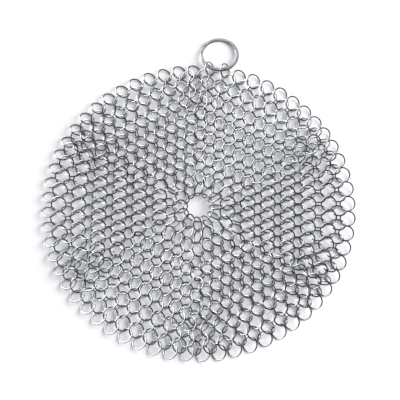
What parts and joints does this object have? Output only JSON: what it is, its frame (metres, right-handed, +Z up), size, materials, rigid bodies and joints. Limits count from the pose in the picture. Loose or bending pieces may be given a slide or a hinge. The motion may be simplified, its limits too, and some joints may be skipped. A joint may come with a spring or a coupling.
{
  "type": "pot scrubber",
  "caption": "Round chain-mail pot scrubber: linked steel wire rings in concentric rows on an open centre ring, with a split ring to hang it by.",
  "frame": {"origin": "middle of the centre hole, on the plane the scrubber lies on", "axes": "+Z up from that plane, +Y from the centre hole to the hanging ring, +X to the right"},
  "size_m": [0.1728, 0.1914, 0.0083],
  "materials": {
    "mail_ring": "bright tumbled stainless wire",
    "hanger_link": "bright tumbled stainless wire",
    "split_ring": "bright plated spring steel"
  },
  "bodies": {
    "strip_01": {"strip_01_odd_row_rings": "mail_ring", "strip_01_rim_rings": "mail_ring"},
    "strip_02": {"strip_02_even_row_rings": "mail_ring", "strip_02_odd_row_rings": "mail_ring", "strip_02_rim_rings": "mail_ring"},
    "strip_03": {"strip_03_even_row_rings": "mail_ring", "strip_03_odd_row_rings": "mail_ring", "strip_03_rim_rings": "mail_ring"},
    "strip_04": {"strip_04_even_row_rings": "mail_ring", "strip_04_odd_row_rings": "mail_ring", "strip_04_rim_rings": "mail_ring"},
    "strip_05": {"strip_05_even_row_rings": "mail_ring", "strip_05_odd_row_rings": "mail_ring", "strip_05_rim_rings": "mail_ring"},
    "strip_06": {"strip_06_even_row_rings": "mail_ring", "strip_06_odd_row_rings": "mail_ring", "strip_06_rim_rings": "mail_ring"},
    "strip_07": {"strip_07_even_row_rings": "mail_ring", "strip_07_odd_row_rings": "mail_ring", "strip_07_rim_rings": "mail_ring", "centre_ring": "mail_ring", "hanger_link_left": "hanger_link", "hanger_link_right": "hanger_link"},
    "strip_08": {"strip_08_even_row_rings": "mail_ring", "strip_08_odd_row_rings": "mail_ring", "strip_08_rim_rings": "mail_ring"},
    "strip_09": {"strip_09_even_row_rings": "mail_ring", "strip_09_odd_row_rings": "mail_ring", "strip_09_rim_rings": "mail_ring"},
    "strip_10": {"strip_10_even_row_rings": "mail_ring", "strip_10_odd_row_rings": "mail_ring", "strip_10_rim_rings": "mail_ring"},
    "strip_11": {"strip_11_even_row_rings": "mail_ring", "strip_11_odd_row_rings": "mail_ring", "strip_11_rim_rings": "mail_ring"},
    "strip_12": {"strip_12_even_row_rings": "mail_ring", "strip_12_odd_row_rings": "mail_ring", "strip_12_rim_rings": "mail_ring"},
    "strip_13": {"strip_13_odd_row_rings": "mail_ring", "strip_13_rim_rings": "mail_ring"},
    "hanging_ring": {"hanging_split_ring": "split_ring"}
  },
  "joints": [
    {"name": "fold_01_02", "type": "hinge", "parent": "strip_02", "child": "strip_01", "pos_m": [-0.07336, 0, 0.0028], "axis": [0, 1, 0], "range_deg": [-10, 10]},
    {"name": "fold_02_03", "type": "hinge", "parent": "strip_03", "child": "strip_02", "pos_m": [-0.06002, 0, 0.0028], "axis": [0, 1, 0], "range_deg": [-10, 10]},
    {"name": "fold_03_04", "type": "hinge", "parent": "strip_04", "child": "strip_03", "pos_m": [-0.04668, 0, 0.0028], "axis": [0, 1, 0], "range_deg": [-10, 10]},
    {"name": "fold_04_05", "type": "hinge", "parent": "strip_05", "child": "strip_04", "pos_m": [-0.03334, 0, 0.0028], "axis": [0, 1, 0], "range_deg": [-10, 10]},
    {"name": "fold_05_06", "type": "hinge", "parent": "strip_06", "child": "strip_05", "pos_m": [-0.02001, 0, 0.0028], "axis": [0, 1, 0], "range_deg": [-10, 10]},
    {"name": "fold_06_07", "type": "hinge", "parent": "strip_07", "child": "strip_06", "pos_m": [-0.00667, 0, 0.0028], "axis": [0, 1, 0], "range_deg": [-10, 10]},
    {"name": "fold_07_08", "type": "hinge", "parent": "strip_07", "child": "strip_08", "pos_m": [0.00667, 0, 0.0028], "axis": [0, -1, 0], "range_deg": [-10, 10]},
    {"name": "fold_08_09", "type": "hinge", "parent": "strip_08", "child": "strip_09", "pos_m": [0.02001, 0, 0.0028], "axis": [0, -1, 0], "range_deg": [-10, 10]},
    {"name": "fold_09_10", "type": "hinge", "parent": "strip_09", "child": "strip_10", "pos_m": [0.03334, 0, 0.0028], "axis": [0, -1, 0], "range_deg": [-10, 10]},
    {"name": "fold_10_11", "type": "hinge", "parent": "strip_10", "child": "strip_11", "pos_m": [0.04668, 0, 0.0028], "axis": [0, -1, 0], "range_deg": [-10, 10]},
    {"name": "fold_11_12", "type": "hinge", "parent": "strip_11", "child": "strip_12", "pos_m": [0.06002, 0, 0.0028], "axis": [0, -1, 0], "range_deg": [-10, 10]},
    {"name": "fold_12_13", "type": "hinge", "parent": "strip_12", "child": "strip_13", "pos_m": [0.07336, 0, 0.0028], "axis": [0, -1, 0], "range_deg": [-10, 10]},
    {"name": "hanging_ring_swing", "type": "hinge", "parent": "strip_07", "child": "hanging_ring", "pos_m": [0, 0.08453, 0.00376], "axis": [1, 0, 0], "range_deg": [-70, 110]}
  ]
}
